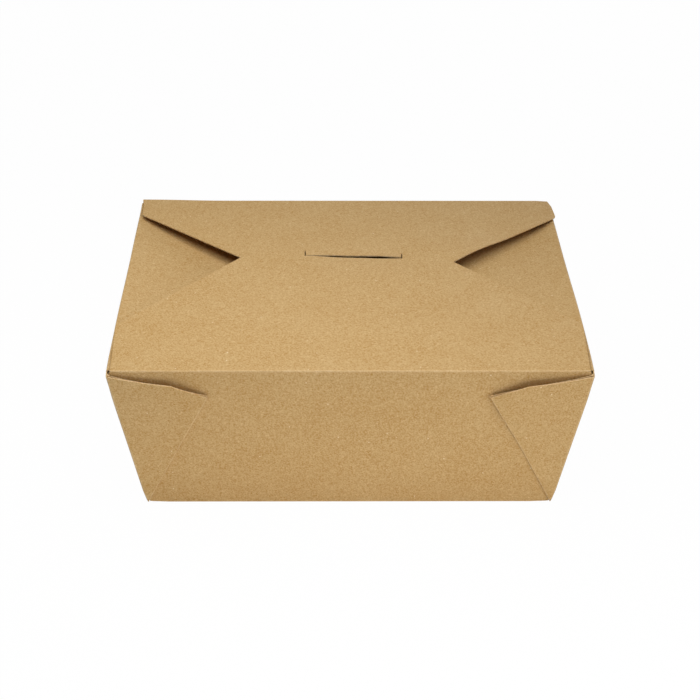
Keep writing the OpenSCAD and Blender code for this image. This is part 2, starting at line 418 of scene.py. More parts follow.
def crossing(p, d, q, e):
    """Where the line through p along d meets the line through q along e, both in one plane."""
    across = d - d.dot(e) * e
    return p + d * ((q - p).dot(across) / d.dot(across))


def quarter_sheet(f, box):
    """Models the right front quarter: base, end wall, corner web and half the front wall."""
    z0, bend, pitch = f.z0, f.bend, f.pitch
    base_x = f.half_w - f.setback
    base_y = -f.half_d + f.setback
    sheet = start_sheet(
        "carton_sheet",
        (
            Vector((0, base_y, z0)),
            Vector((base_x, base_y, z0)),
            Vector((base_x, 0, z0)),
            Vector((0, 0, z0)),
        ),
    )

    # The end wall, from its base crease to the row where its side flap will start
    row = [Vector((base_x, 0, z0)), Vector((base_x, base_y, z0))]
    centre = Vector((base_x, 0, z0 + bend))
    row = fold(sheet, row, centre, Vector((0, 1, 0)), -f.base_turn, steps=6)
    wrap_shift = 2 * pitch / f.end_across.dot(f.front_out) * f.end_across
    wrap_back = pitch * math.tan(f.wall_turn / 2)
    web_top = (f.slant / math.cos(f.edge_lean) - box.web_drop) * f.edge
    tip = box.web_tip * f.web_crease
    kink = tip + box.web_tip_half * f.web_across
    rim_line = (kink - web_top).normalized()

    def edge_ends(inward):
        """Foot and top of a line along the corner, at a distance in from it in the front wall."""
        start = -inward * f.front_across
        foot = start + box.web_foot * f.edge
        return foot, crossing(start, f.edge, web_top, rim_line)

    outer_foot, outer_top = edge_ends(wrap_back - wrap_shift.dot(f.front_across))
    inner_foot, inner_top = edge_ends(1.5 * pitch)
    end_line = f.corner + wrap_shift + wrap_back * f.end_across
    toe = end_line + MM * f.edge
    low = end_line + box.web_foot * f.edge
    high = end_line + outer_top.dot(f.edge) * f.edge
    for place in (toe, low, high):
        up = (place - f.corner).dot(f.end_up)
        row = grow(sheet, row, [f.on_end(up), place])
    end_row = row

    # The corner: the end wall turns round into the outer layer of the web
    layer_shift = f.corner + 2 * pitch * f.front_out
    centre = layer_shift + outer_foot - pitch * f.front_out
    row = fold(sheet, [toe, low, high], centre, f.edge, -f.wall_turn, steps=8)[1:]

    # The outer layer, its diagonal crease, the inner layer and the turn into the front wall
    half = pitch / 2 * f.web_across
    tip_foot = box.web_foot * f.web_crease + half
    kink_foot = (outer_foot + tip_foot) / 2
    row = grow(sheet, row, [layer_shift + kink_foot, layer_shift + kink])
    row = grow(sheet, row, [layer_shift + tip_foot, layer_shift + tip + half])
    centre = layer_shift + tip_foot - pitch / 2 * f.front_out
    row = fold(sheet, row, centre, f.web_crease, -math.pi, steps=8)
    layer_shift = f.corner + pitch * f.front_out
    kink_foot = (inner_foot + tip_foot) / 2
    sunk = box.web_sink * f.edge
    row = grow(sheet, row, [layer_shift + kink_foot, layer_shift + kink - sunk])
    row = grow(sheet, row, [layer_shift + inner_foot, layer_shift + inner_top])
    centre = layer_shift + inner_foot - pitch / 2 * f.front_out
    fold(sheet, row, centre, f.edge, math.pi, steps=8)

    # The front wall, up to the row where it leaves the corner
    low, high = f.corner + inner_foot, f.corner + inner_top
    row = [Vector((base_x, base_y, z0)), Vector((0, base_y, z0))]
    centre = Vector((0, base_y, z0 + bend))
    row = fold(sheet, row, centre, Vector((1, 0, 0)), -f.base_turn, steps=6)
    row = grow(sheet, row, [low, f.on_front(f.front_slope(low))])
    row = grow(sheet, row, [high, f.on_front(f.front_slope(high))])

    # The layers draw together where they meet the base corner
    nearest, farthest = 0.95 * MM, 1.5 * box.web_foot
    pick(sheet, "VERT", lambda vert: nearest < (vert.co - f.corner).length < farthest)
    bpy.ops.transform.resize(value=(0.65, 0.65, 0.65), center_override=f.corner)
    return sheet, row, end_row


def both_ways(row):
    """A row from the middle of a panel to its side, as one row from side to side."""
    middle, side = row
    across = side - middle
    return [middle - across, middle, side]


def side_to_side(middle, half):
    """Three places of a row that is as long to both sides of its middle."""
    return [middle - half, middle, middle + half]


# The side flaps' curl: how far along the flap, and how steeply it dips up to there
SIDE_CURL = (
    (0.045, math.radians(19)),
    (0.09, math.radians(16)),
    (0.14, math.radians(12)),
    (0.20, math.radians(8)),
    (0.30, math.radians(5.5)),
    (1.0, math.radians(3.5)),
)


def grow_side_flap(sheet, f, box, flaps, end_row, way):
    """Grows a side flap from the rim of an end wall, right for way 1 and left for -1."""
    turn = math.pi / 2 + f.lean + SIDE_CURL[0][1]
    setback = f.bend * math.tan(turn / 2)
    rim = f.slant - box.rim_step / math.cos(f.lean)
    flip = Vector((way, 1, 1))
    root = Vector((0, -flaps.side_root, 0))
    tip = Vector((0, -flaps.side_tip, 0))
    row = both_ways([f.on_end((end_row[0] - f.corner).dot(f.end_up)), end_row[1]])
    row = [place * flip for place in row]
    row = grow(sheet, row, [p * flip for p in side_to_side(f.on_end(rim - setback), root)])
    centre = row[1] - f.bend * (f.end_out * flip)
    row = fold(sheet, row, centre, Vector((0, -way, 0)), turn, steps=7)
    place = f.on_end(rim)
    reached = 0
    for reach, dip in SIDE_CURL:
        place += (reach - reached) * flaps.side_length * Vector((-math.cos(dip), 0, -math.sin(dip)))
        share = max(0, reach - SIDE_CURL[0][0]) / (1 - SIDE_CURL[0][0])
        half = root + share * tip - share * root
        row = grow(sheet, row, [p * flip for p in side_to_side(place, half)])
        reached = reach
    for place in (row[0], row[2]):
        round_corner(sheet, place, SIDE_ROUND)


def grow_slit_flap(sheet, f, box, flaps, top_row):
    """Grows the slit flap from the back rim, and cuts its slit and the ticks at its ends."""
    turn = math.pi / 2 + f.lean
    setback = f.bend * math.tan(turn / 2)
    back = Vector((1, -1, 1))
    root = Vector((f.half_w + box.flare - 0.5 * MM, 0, 0))
    top_y = f.half_d + box.flare
    row = grow(
        sheet,
        [place * back for place in top_row],
        [place * back for place in side_to_side(f.on_front(f.slant - setback), root)],
    )
    centre = row[1] - f.bend * (f.front_out * back)
    row = fold(sheet, row, centre, Vector((1, 0, 0)), turn, steps=7)

    # The left wing is a little narrower than the crease and the right one wider
    left_x, right_x = root.x - 0.4 * MM, root.x + 0.8 * MM
    half_tab = flaps.tab_width / 2
    half_slit = half_tab + RELIEF
    before_tab, tick_length = 0.78 * MM, 3.2 * MM
    slit = (flaps.slit_distance - flaps.slit_gap, flaps.slit_distance + before_tab)
    tick = slit[0] - tick_length

    rows = {}
    for along in (flaps.slit_side, tick, *slit, flaps.slit_length):
        share = (along - flaps.slit_side) / (flaps.slit_length - flaps.slit_side)
        left = left_x + (flaps.slit_tips[0] - left_x) * share
        right = right_x + (flaps.slit_tips[1] - right_x) * share
        y = top_y - along
        row = grow(sheet, row, [Vector((x, y, box.height)) for x in (-left, 0, right)])
        rows[along] = row
    pick_edges(sheet, rows[flaps.slit_side])
    bpy.ops.mesh.dissolve_edges(use_verts=False)
    for along in (flaps.slit_side, flaps.slit_length):
        for place in (rows[along][0], rows[along][2]):
            round_corner(sheet, place, CORNER_ROUND)

    def in_band(face):
        place = face.calc_center_median()
        return abs(place.z - box.height) < 0.1 * MM and tick < top_y - place.y < slit[1]

    def in_slit(face):
        place = face.calc_center_median()
        beside = abs(place.x - flaps.tab_shift)
        behind = top_y - place.y < slit[0]
        return in_band(face) and beside < half_slit and (beside > half_tab or not behind)

    for x in (-half_slit, -half_tab, half_tab, half_slit):
        cut_across(sheet, Vector((flaps.tab_shift + x, 0, 0)), Vector((1, 0, 0)), in_band)
    pick(sheet, "FACE", in_slit)
    bpy.ops.mesh.delete(type="FACE")


def relax_webs(sheet, f, box):
    """Opens the webs along their top edges and closes them up round the corners."""
    outside = f.corner + 2 * f.pitch * f.front_out
    tip = box.web_tip * f.web_crease
    kink = tip + box.web_tip_half * f.web_across
    corner_top = (f.slant / math.cos(f.edge_lean) - box.web_drop) * f.edge
    loop = f.corner + 0.5 * f.pitch * f.front_out + corner_top
    # Each web's side in X and Y, how far it stands off its wall and how much its corner rises
    for x, y, gap, rise in ((-1, 1, 1.5, 0.4), (1, 1, 1.9, 0.4), (-1, -1, 1.0, 0.2), (1, -1, 1.2, 0.2)):
        side = Vector((x, y, 1))
        upper_edge = outside + 0.35 * kink + 0.65 * corner_top
        rise_in = rise * f.edge - 0.4 * f.front_across
        pull(sheet, (outside + kink) * side, gap * f.front_out * side, reach=27)
        pull(sheet, upper_edge * side, 0.35 * f.front_out * side, reach=12)
        pull(sheet, (outside + corner_top) * side, rise_in * side, reach=14)
        pull(sheet, loop * side, rise * f.edge * side, reach=5)
        pull(sheet, f.corner * side, Vector((-0.6, 0.3, 0.15)) * side, reach=4)

    # The right front web is a little wider than the left one
    pull(sheet, outside + tip, -0.9 * f.front_across, reach=32)


def relax_carton(sheet, f, box, flaps):
    """Lets the folded layers and the free edges spring a little, each corner in its own way."""
    rim_x = f.half_w + box.flare
    rim_y = f.half_d + box.flare
    rim = box.height
    relax_webs(sheet, f, box)

    # The box leans out at its left rear corner, which is sharp, and draws in at its right one
    place = Vector((-rim_x, 0.9 * rim_y, rim - 2 * MM))
    pull(sheet, place, move=(-1.1, 0, 0), reach=120)
    pull(sheet, Vector((-rim_x, rim_y, rim)), move=(-0.7, 0, 0), reach=50)
    place = Vector((-rim_x, 68.5 * MM, rim - 0.9 * MM))
    pull(sheet, place, move=(-0.35, 0, 0.35), reach=9)
    place = Vector((-rim_x + 0.6 * MM, rim_y - 0.6 * MM, rim))
    pull(sheet, place, move=(-0.5, 0, 0), reach=6)
    pull(sheet, Vector((rim_x, rim_y, rim)), move=(-0.7, -0.2, -0.2), reach=4)

    # The end walls bow out
    for x in (-1, 1):
        pull(sheet, Vector((x * rim_x, -28 * MM, rim - MM)), move=(0.35 * x, 0, 0), reach=50)

    # The wings of the slit flap lift, and the right one curls
    wing_x = rim_x + 0.3 * MM
    wing_y = rim_y - flaps.slit_side
    pull(sheet, Vector((-wing_x, wing_y, rim)), move=(0.4, 0.8, 0.5), reach=36)
    pull(sheet, Vector((wing_x, wing_y, rim)), move=(0.3, -0.6, 0.3), reach=30)
    pull(sheet, Vector((53 * MM, 23 * MM, rim)), move=(0, 0, 1.1), reach=22)
    pull(sheet, Vector((-60 * MM, 32 * MM, rim)), move=(0, 0, 0.4), reach=30)

    # Under them the left side flap sinks and the right one rises
    for x, rise in ((-1, -0.6), (1, 0.3)):
        pull(sheet, Vector((x * 41 * MM, 22 * MM, rim - 5.4 * MM)), move=(0, 0, rise), reach=45)

    # The tab presses down the strip in front of the slit, and the edge behind it rises
    slit_y = rim_y - flaps.slit_distance
    skew_round_tab(sheet, Vector((0, slit_y, rim)), flaps)
    pull(sheet, Vector((10 * MM, slit_y - 7 * MM, rim)), move=(0, 0, -1.5), reach=30)
    for x in (-6, 11):
        pull(sheet, Vector((x * MM, slit_y + MM, rim)), move=(0, 0, 0.3), reach=13)


def skew_round_tab(sheet, middle, flaps):
    """Shifts the board beside both ends of the slit, which isn't quite square to the box."""
    for way, shift in ((-1, 0.8), (1, -0.6)):
        x = flaps.tab_shift + way * (flaps.tab_width / 2 + MM)
        pull(sheet, middle + Vector((x, 0, 0)), move=(0, shift, 0), reach=24)


def panels_facing(axis):
    """A test for panels that a cut square to an axis divides cleanly."""
    steepest = 0.6
    return lambda face: abs(face.normal[axis]) < steepest


def cut_grid(sheet, spacing, low, high):
    """Divides the panels into small faces, so that they can curl."""
    for axis in (0, 1, 2):
        normal = Vector([float(i == axis) for i in range(3)])
        count = int((high[axis] - low[axis]) / spacing)
        for step in range(1, count):
            place = low + (high - low) * (step / count)
            cut_across(sheet, place, normal, panels_facing(axis))


def add_node(tree, kind, place, inputs=None, **settings):
    """Adds a node at a grid place and sets its plain values."""
    node = tree.nodes.new(kind)
    node.location = (place[0] * 200, place[1] * -220)
    for name, value in settings.items():
        setattr(node, name, value)
    for name, value in (inputs or {}).items():
        node.inputs[name].default_value = value
    return node


def add_maths(tree, place, operation, *values, kind="ShaderNodeMath"):
    """Adds a Math node between sockets, numbers or vectors and returns its result."""
    node = add_node(tree, kind, place, operation=operation)
    for index, value in enumerate(values):
        if isinstance(value, bpy.types.NodeSocket):
            tree.links.new(value, node.inputs[index])
        else:
            node.inputs[index].default_value = value
    return node.outputs[0]


def add_vector_maths(tree, place, operation, *values):
    """Adds a Vector Math node and returns its result."""
    return add_maths(tree, place, operation, *values, kind="ShaderNodeVectorMath")


def add_ramp(tree, place, value, low, high, start=0.0, end=1.0):
    """Adds a smooth Map Range node that takes low..high to start..end."""
    node = add_node(
        tree,
        "ShaderNodeMapRange",
        place,
        {"From Min": low, "From Max": high, "To Min": start, "To Max": end},
        interpolation_type="SMOOTHSTEP",
    )
    tree.links.new(value, node.inputs["Value"])
    return node.outputs["Result"]


def kraft_fibre_group():
    """Builds the pattern of kraft pulp once: clouds, grain, curled fibres and flecks."""
    group = bpy.data.node_groups.new("kraft_fibres", "ShaderNodeTree")
    new_socket = group.interface.new_socket
    new_socket("Board", in_out="INPUT", socket_type="NodeSocketColor")
    for name in PATTERN_INPUTS:
        new_socket(name, in_out="INPUT", socket_type="NodeSocketFloat")
    new_socket("Color", in_out="OUTPUT", socket_type="NodeSocketColor")
    for name in ("Roughness", "Height"):
        new_socket(name, in_out="OUTPUT", socket_type="NodeSocketFloat")
    start = add_node(group, "NodeGroupInput", (0, 0))
    end = add_node(group, "NodeGroupOutput", (17, 0))
    link = group.links.new

    # Object coordinates in millimetres
    place = add_node(group, "ShaderNodeTexCoord", (0, 3))
    scaled = add_node(group, "ShaderNodeVectorMath", (1, 3), operation="SCALE")
    scaled.inputs["Scale"].default_value = 1000
    link(place.outputs["Object"], scaled.inputs[0])
    mm = scaled.outputs[0]
    along = add_node(
        group,
        "ShaderNodeMapping",
        (1, 5),
        {"Rotation": (0, 0.615, -0.785), "Scale": (2.4, 1.0, 1.0)},
        vector_type="TEXTURE",
    )
    link(mm, along.inputs["Vector"])

    def noise(at, scale, detail, roughness, vector=mm):
        """A noise of so many details to a millimetre."""
        node = add_node(
            group,
            "ShaderNodeTexNoise",
            at,
            {"Scale": scale, "Detail": detail, "Roughness": roughness},
        )
        link(vector, node.inputs["Vector"])
        return node

    def shifted(at, offset, vector=mm):
        """The coordinates moved, so that each pattern has its own place."""
        return add_vector_maths(group, at, "ADD", vector, offset)

    clouds = noise((2, 0), scale=0.06, detail=3, roughness=0.55).outputs["Fac"]
    patches = noise((2, 1), scale=0.35, detail=3, roughness=0.6).outputs["Fac"]
    grain = noise((2, 2), scale=2.1, detail=3, roughness=0.55, vector=along.outputs["Vector"])
    grain = grain.outputs["Fac"]

    # Curled fibres: the borders of bent cells, broken up into short pieces
    bender = noise((2, 4), scale=0.8, detail=2, roughness=0.5).outputs["Color"]
    swing = add_vector_maths(group, (3, 4), "MULTIPLY_ADD", bender, (2.4, 2.4, 2.4), mm)
    curls = []
    cell_sets = ((0.8, (0, 0, 0)), (1.1, (31, 17, 5)), (0.95, (7, 53, 29)))
    for index, (scale, offset) in enumerate(cell_sets):
        where = shifted((4, 4 + index), offset, swing)
        cells = add_node(
            group,
            "ShaderNodeTexVoronoi",
            (5, 4 + index),
            {"Scale": scale},
            feature="DISTANCE_TO_EDGE",
        )
        link(where, cells.inputs["Vector"])
        line = add_ramp(group, (6, 4 + index), cells.outputs["Distance"], 0.02, 0.11, 1, 0)
        where = shifted((4, 7 + index), offset)
        piece = noise((5, 7 + index), scale=0.9, detail=1, roughness=0.5, vector=where)
        kept = add_ramp(group, (6, 7 + index), piece.outputs["Fac"], 0.5, 0.58)
        curls.append(add_maths(group, (7, 4 + index), "MULTIPLY", line, kept))
    light_curls = add_maths(group, (8, 4), "MAXIMUM", curls[0], curls[1])
    dark_curls = curls[2]

    # Flecks: a few cells hold a spot of bleached or dark pulp
    def spots(row, scale, offset, size, share):
        """Spots of a size, in a share of the cells of a scale."""
        where = shifted((3, row), offset)
        cells = add_node(group, "ShaderNodeTexVoronoi", (4, row), {"Scale": scale}, feature="F1")
        link(where, cells.inputs["Vector"])
        parts = add_node(group, "ShaderNodeSeparateColor", (5, row))
        link(cells.outputs["Color"], parts.inputs[0])
        spot = add_ramp(group, (6, row), cells.outputs["Distance"], size * 0.5, size, 1, 0)
        chosen = add_ramp(group, (6, row + 1), parts.outputs[0], 1 - share, 1 - share + 0.02)
        return add_maths(group, (7, row), "MULTIPLY", spot, chosen)

    pale = spots(11, scale=0.28, offset=(11, 3, 8), size=0.085, share=0.3)
    tiny = spots(13, scale=0.75, offset=(2, 41, 19), size=0.16, share=0.22)
    dark = spots(15, scale=0.3, offset=(23, 9, 37), size=0.06, share=0.2)

    # Lightness of the board around 1
    def around(row, value, strength, amount):
        """How much a noise lightens or darkens the board."""
        centred = add_maths(group, (8, row), "SUBTRACT", value, 0.5)
        scaled = add_maths(group, (9, row), "MULTIPLY", centred, amount)
        return add_maths(group, (10, row), "MULTIPLY", scaled, start.outputs[strength])

    wide = around(0, clouds, "Clouds", amount=0.35)
    medium = around(1, patches, "Clouds", amount=0.42)
    fine = around(2, grain, "Grain", amount=1.7)
    tone = add_maths(group, (11, 0), "ADD", wide, medium)
    tone = add_maths(group, (11, 1), "ADD", tone, fine)
    lift = add_maths(group, (9, 4), "MULTIPLY", light_curls, 0.2)
    drop = add_maths(group, (9, 5), "MULTIPLY", dark_curls, -0.16)
    curl = add_maths(group, (10, 4), "ADD", lift, drop)
    curl = add_maths(group, (10, 5), "MULTIPLY", curl, start.outputs["Fibres"])
    tone = add_maths(group, (11, 2), "ADD", tone, curl)
    # Darker board is also browner
    tint = add_vector_maths(group, (12, 2), "MULTIPLY_ADD", tone, (0.60, 1.0, 1.75), (1, 1, 1))
    shade = add_vector_maths(group, (12, 3), "MULTIPLY", start.outputs["Board"], tint)

    def blend_in(row, base, colour, mask, amount):
        """Lays an amount of a colour over the base where a mask says."""
        share = add_maths(group, (12, row), "MULTIPLY", mask, amount)
        share = add_maths(group, (13, row), "MULTIPLY", share, start.outputs["Flecks"])
        node = add_node(group, "ShaderNodeMix", (14, row), data_type="RGBA")
        link(share, node.inputs[0])
        link(base, node.inputs[6])
        node.inputs[7].default_value = colour
        return node.outputs[2]

    bleached_pulp = (0.86, 0.74, 0.50, 1)
    light_pulp = (0.80, 0.64, 0.38, 1)
    dark_pulp = (0.20, 0.12, 0.05, 1)
    colour = blend_in(3, shade, bleached_pulp, pale, amount=1.2)
    colour = blend_in(4, colour, light_pulp, tiny, amount=0.6)
    colour = blend_in(5, colour, dark_pulp, dark, amount=0.9)
    link(colour, end.inputs["Color"])
    rough = add_maths(group, (13, 7), "SUBTRACT", grain, 0.5)
    rough = add_maths(group, (14, 7), "MULTIPLY_ADD", rough, 0.25, start.outputs["Roughness"])
    link(rough, end.inputs["Roughness"])
    relief = add_maths(group, (13, 8), "MULTIPLY_ADD", light_curls, 0.35, grain)
    link(relief, end.inputs["Height"])
    return group


def kraft_material(name, group, colour, values, relief, gloss):
    """Makes a board material with its own colour, pattern strengths, relief and gloss."""
    material = bpy.data.materials.new(name)
    material.use_nodes = True
    tree = material.node_tree
    shader = tree.nodes["Principled BSDF"]
    pattern = add_node(tree, "ShaderNodeGroup", (-3, 0))
    pattern.node_tree = group
    pattern.inputs["Board"].default_value = (*colour, 1)
    for socket, value in zip(PATTERN_INPUTS, values):
        pattern.inputs[socket].default_value = value
    bump = add_node(tree, "ShaderNodeBump", (-1, 1), {"Strength": relief, "Distance": 0.04 * MM})
    tree.links.new(pattern.outputs["Height"], bump.inputs["Height"])
    tree.links.new(pattern.outputs["Color"], shader.inputs["Base Color"])
    tree.links.new(pattern.outputs["Roughness"], shader.inputs["Roughness"])
    tree.links.new(bump.outputs["Normal"], shader.inputs["Normal"])
    shader.inputs["Specular IOR Level"].default_value = gloss
    return material


class OBJECT_OT_mix_kraft(bpy.types.Operator):
    """Mix the board's face, its folds, lighter from stretched fibres and as a painted highlight, and
    its cut edges
    """

    bl_idname = "object.mix_takeaway_kraft"
    bl_label = "Mix Kraft Board"
    bl_options = {"REGISTER", "UNDO"}

    def execute(self, context):
        colours = context.scene.kraft_colours
        group = kraft_fibre_group()
        for name, colour, values, relief, gloss in zip(
            MATERIALS,
            (colours.face, colours.fold, colours.edge),
            ((0.5, 0.75, 0.8, 0.8, 0.62), (0.5, 0.45, 0.6, 0.4, 0.7), (0.4, 0.6, 0.6, 0.2, 0.85)),
            (0.3, 0.2, 0.4),
            (0.06, 0.15, 0.1),
        ):
            kraft_material(name, group, colour, values, relief, gloss)
        return {"FINISHED"}


def colour_sheet(sheet, panel_normals, in_fold_highlight):
    """Gives the sheet its three materials, with the fold colour, stretched fibres and a painted
    highlight, on every bend.
    """
    for name in MATERIALS:
        sheet.data.materials.append(bpy.data.materials[name])
    limit = math.cos(math.radians(2))

    def on_bend(face):
        flat = any(abs(face.normal.dot(normal)) > limit for normal in panel_normals)
        return not flat or in_fold_highlight(face.calc_center_median())

    pick(sheet, "FACE", on_bend)
    sheet.active_material_index = MATERIALS.index("kraft_fold_fibres_and_highlight")
    bpy.ops.object.material_slot_assign()


def give_thickness(sheet, thickness):
    """Turns the sheet's middle into board with cut edges."""
    bpy.ops.mesh.select_all(action="SELECT")
    bpy.ops.mesh.normals_make_consistent(inside=False)
    bpy.ops.object.mode_set(mode="OBJECT")
    apply_modifier(
        sheet,
        "SOLIDIFY",
        thickness=thickness,
        offset=0,
        use_even_offset=True,
        use_rim=True,
        material_offset_rim=MATERIALS.index("kraft_cut_edge"),
    )


def finish_sheet(sheet):
    """Smooths the creases and keeps the panels flat in the light."""
    bpy.ops.object.shade_smooth_by_angle(angle=math.radians(40))
    apply_modifier(sheet, "WEIGHTED_NORMAL", weight=100, keep_sharp=True)


class OBJECT_OT_fold_carton(bpy.types.Operator):
    """Fold the base, the walls, the corner webs, the side flaps and the slit flap from one sheet"""

    bl_idname = "object.fold_takeaway_carton"
    bl_label = "Fold Carton"
    bl_options = {"REGISTER", "UNDO"}

    def execute(self, context):
        scene = context.scene
        box, board, flaps = scene.kraft_box, scene.kraft_board, scene.kraft_flaps
        f = Fold(board, box)
        sheet, front_row, end_row = quarter_sheet(f, box)
        mirror_sheet(sheet)
        top_row = both_ways(front_row[::-1])
        root = Vector((flaps.tab_root, 0, 0))
        row = top_row
        for up in (f.slant - FOLD_HIGHLIGHT_STRIP, f.slant):
            row = grow(sheet, row, side_to_side(f.on_front(up), root))
        for way in (1, -1):
            grow_side_flap(sheet, f, box, flaps, end_row, way)
        grow_slit_flap(sheet, f, box, flaps, top_row)
        low = Vector((-f.half_w - box.flare, -f.half_d - box.flare, 0))
        high = Vector((f.half_w + box.flare, f.half_d + box.flare, box.height))
        cut_grid(sheet, board.grid, low, high)
        panels = [Vector((0, 0, 1)), f.front_out, f.end_out]
        panels += [Vector((math.sin(dip), 0, -math.cos(dip))) for _, dip in SIDE_CURL]
        panels += [normal * Vector((-1, -1, 1)) for normal in panels[1:]]
        # The strip under the front rim gets the fold colour, partly a painted highlight of the crease
        strip = box.height - FOLD_HIGHLIGHT_STRIP
        colour_sheet(sheet, panels, lambda place: place.y < 0 and place.z > strip)
        relax_carton(sheet, f, box, flaps)
        give_thickness(sheet, board.thickness)
        finish_sheet(sheet)
        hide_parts("carton")
        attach(sheet, "carton")
        return {"FINISHED"}


class TabFlapPlane:
    """Places on the tab flap: along it from the crease, across it, and above its middle."""

    def __init__(self, f, box, flaps):
        self.reach = 2 * (f.half_d + box.flare) - flaps.slit_distance
        self.tilt = math.asin(flaps.lap / self.reach)
        self.arc = 2 * math.asin(flaps.tab_length / (2 * self.reach))
        self.ahead = Vector((0, math.cos(self.tilt), math.sin(self.tilt)))
        self.above = Vector((0, -math.sin(self.tilt), math.cos(self.tilt)))

    def at(self, across, along, above=0.0):
        return HINGE + Vector((across, 0, 0)) + along * self.ahead + above * self.above

    def row(self, left, right, along):
        """Two places as far along, one to the left of the middle and one to the right."""
        return [self.at(-left, along), self.at(right, along)]


class OBJECT_OT_fold_tab_flap(bpy.types.Operator):
    """Fold the tab flap with its tab and its rounded hinge edge"""

    bl_idname = "object.fold_takeaway_tab_flap"
    bl_label = "Fold Tab Flap"
    bl_options = {"REGISTER", "UNDO"}

    def execute(self, context):
        scene = context.scene
        box, board, flaps = scene.kraft_box, scene.kraft_board, scene.kraft_flaps
        f = Fold(board, box)
        plane = TabFlapPlane(f, box, flaps)
        side_x = flaps.tab_root + flaps.tab_flare
        strip_x = flaps.tab_root + flaps.tab_flare * FOLD_HIGHLIGHT_STRIP / flaps.tab_side
        low_shoulder = plane.reach + 2.4 * MM
        high_shoulder = plane.reach + flaps.shoulder_length
        turn = math.pi / 2 + plane.arc / 2
        setback = f.bend * math.tan(turn / 2)
        notch = plane.reach - setback

        crease = plane.row(flaps.tab_root, flaps.tab_root, 0)
        row = plane.row(strip_x, strip_x, FOLD_HIGHLIGHT_STRIP)
        sheet = start_sheet("tab_flap_sheet", (*crease, *reversed(row)))
        side = plane.row(side_x, side_x, flaps.tab_side)
        share = (notch - flaps.tab_side) / (low_shoulder - flaps.tab_side)
        left, right = (side_x + (x - side_x) * share for x in flaps.shoulders)
        ends = plane.row(left, right, notch)
        row = grow(sheet, row, side)
        grow(sheet, row, ends)

        # The edges beside the tab are cut free, and the shoulders run on past them
        half = flaps.tab_width / 2
        marks = [flaps.tab_shift + x for x in (-half - RELIEF, -half, half, half + RELIEF)]
        for x in marks:
            cut_across(sheet, Vector((x, 0, 0)), Vector((1, 0, 0)), lambda face: True)
        corners = []
        places = (-flaps.shoulders[0], flaps.shoulders[1])
        for mark, end, x in zip((marks[0], marks[3]), ends, places):
            corner = plane.at(x, low_shoulder)
            start = plane.at(mark, notch)
            grow(sheet, [start, end], [plane.at(mark, high_shoulder), corner])
            corners.append(corner)
            pick_edges(sheet, [start, end])
            bpy.ops.mesh.dissolve_edges(use_verts=False)
        pick_edges(sheet, [side[0], *(plane.at(x, flaps.tab_side) for x in marks), side[1]])
        bpy.ops.mesh.dissolve_edges(use_verts=False)
        for corner in (*corners, *side):
            round_corner(sheet, corner, CORNER_ROUND)

        # The tab turns down at its crease and narrows to its end
        row = [plane.at(marks[1], notch), plane.at(marks[2], notch)]
        centre = plane.at(0, notch, -f.bend)
        row = fold(sheet, row, centre, Vector((1, 0, 0)), -turn, steps=7)
        down = -math.sin(turn) * plane.above + math.cos(turn) * plane.ahead
        full_width, taper = 1.2 * MM, 2 * MM
        for length, width in ((setback + full_width, half), (flaps.tab_length, half - taper)):
            middle = plane.at(flaps.tab_shift, plane.reach) + length * down
            row = grow(sheet, row, [middle - Vector((width, 0, 0)), middle + Vector((width, 0, 0))])
        for corner in row:
            round_corner(sheet, corner, TAB_ROUND)

        low = plane.at(-side_x, 0)
        high = plane.at(side_x, high_shoulder)
        cut_grid(sheet, board.grid, low, high)
        panels = [plane.above, math.sin(turn) * plane.ahead + math.cos(turn) * plane.above]
        # The strip beside the hinge gets the fold colour, partly a painted highlight of the crease
        colour_sheet(sheet, panels, lambda place: (place - HINGE).dot(plane.ahead) < FOLD_HIGHLIGHT_STRIP)
        relax_tab_flap(sheet, plane, flaps)
        give_thickness(sheet, board.thickness)
        round_hinge_edge(sheet, plane, board.thickness)
        finish_sheet(sheet)
        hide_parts("tab_flap")
        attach(sheet, "tab_flap")
        return {"FINISHED"}


def relax_tab_flap(sheet, plane, flaps):
    """Lets the flap bulge behind its crease and dip where its tab goes down."""
    for x in (-42, 0, 42):
        pull(sheet, plane.at(x * MM, 30 * MM), move=0.35 * plane.above, reach=28)
    skew_round_tab(sheet, plane.at(0, plane.reach), flaps)
    before_tab = plane.reach - 0.5 * MM
    for x, drop, reach in ((16, 0.62, 15), (4, 0.62, 17), (-9, 0.5, 15)):
        pull(sheet, plane.at(x * MM, before_tab), -drop * plane.above, reach)


def round_hinge_edge(sheet, plane, thickness):
    """Turns the flat edge along the hinge into a half round one, centred on the hinge."""
    bpy.ops.object.mode_set(mode="EDIT")

    def at_hinge(vert):
        return abs((vert.co - HINGE).dot(plane.ahead)) < NEAR

    def above_hinge(vert):
        return at_hinge(vert) and (vert.co - HINGE).dot(plane.above) > thickness / 4

    pick(sheet, "FACE", lambda face: all(at_hinge(vert) for vert in face.verts))
    bpy.ops.mesh.delete(type="ONLY_FACE")
    pick(sheet, "EDGE", lambda edge: all(above_hinge(vert) for vert in edge.verts))
    bpy.ops.mesh.spin(steps=10, angle=-math.pi, center=HINGE, axis=(1, 0, 0))
    bpy.ops.mesh.select_all(action="SELECT")
    bpy.ops.mesh.remove_doubles(threshold=5e-6)
    bpy.ops.mesh.delete_loose(use_verts=False, use_edges=True, use_faces=False)
    bpy.ops.mesh.select_all(action="SELECT")
    bpy.ops.mesh.fill_holes(sides=0)
    bpy.ops.mesh.normals_make_consistent(inside=False)
    bpy.ops.object.mode_set(mode="OBJECT")


def white_rays(tree, column):
    """Masks the rays that see the white background: the camera's own, mirrored and through glass."""
    path = add_node(tree, "ShaderNodeLightPath", (column, 0))
    camera, mirrored, through = (
        path.outputs[name] for name in ("Is Camera Ray", "Is Glossy Ray", "Is Transmission Ray")
    )
    mask = add_maths(tree, (column + 1, 0), "MAXIMUM", camera, mirrored)
    return add_maths(tree, (column + 2, 0), "MAXIMUM", mask, through)


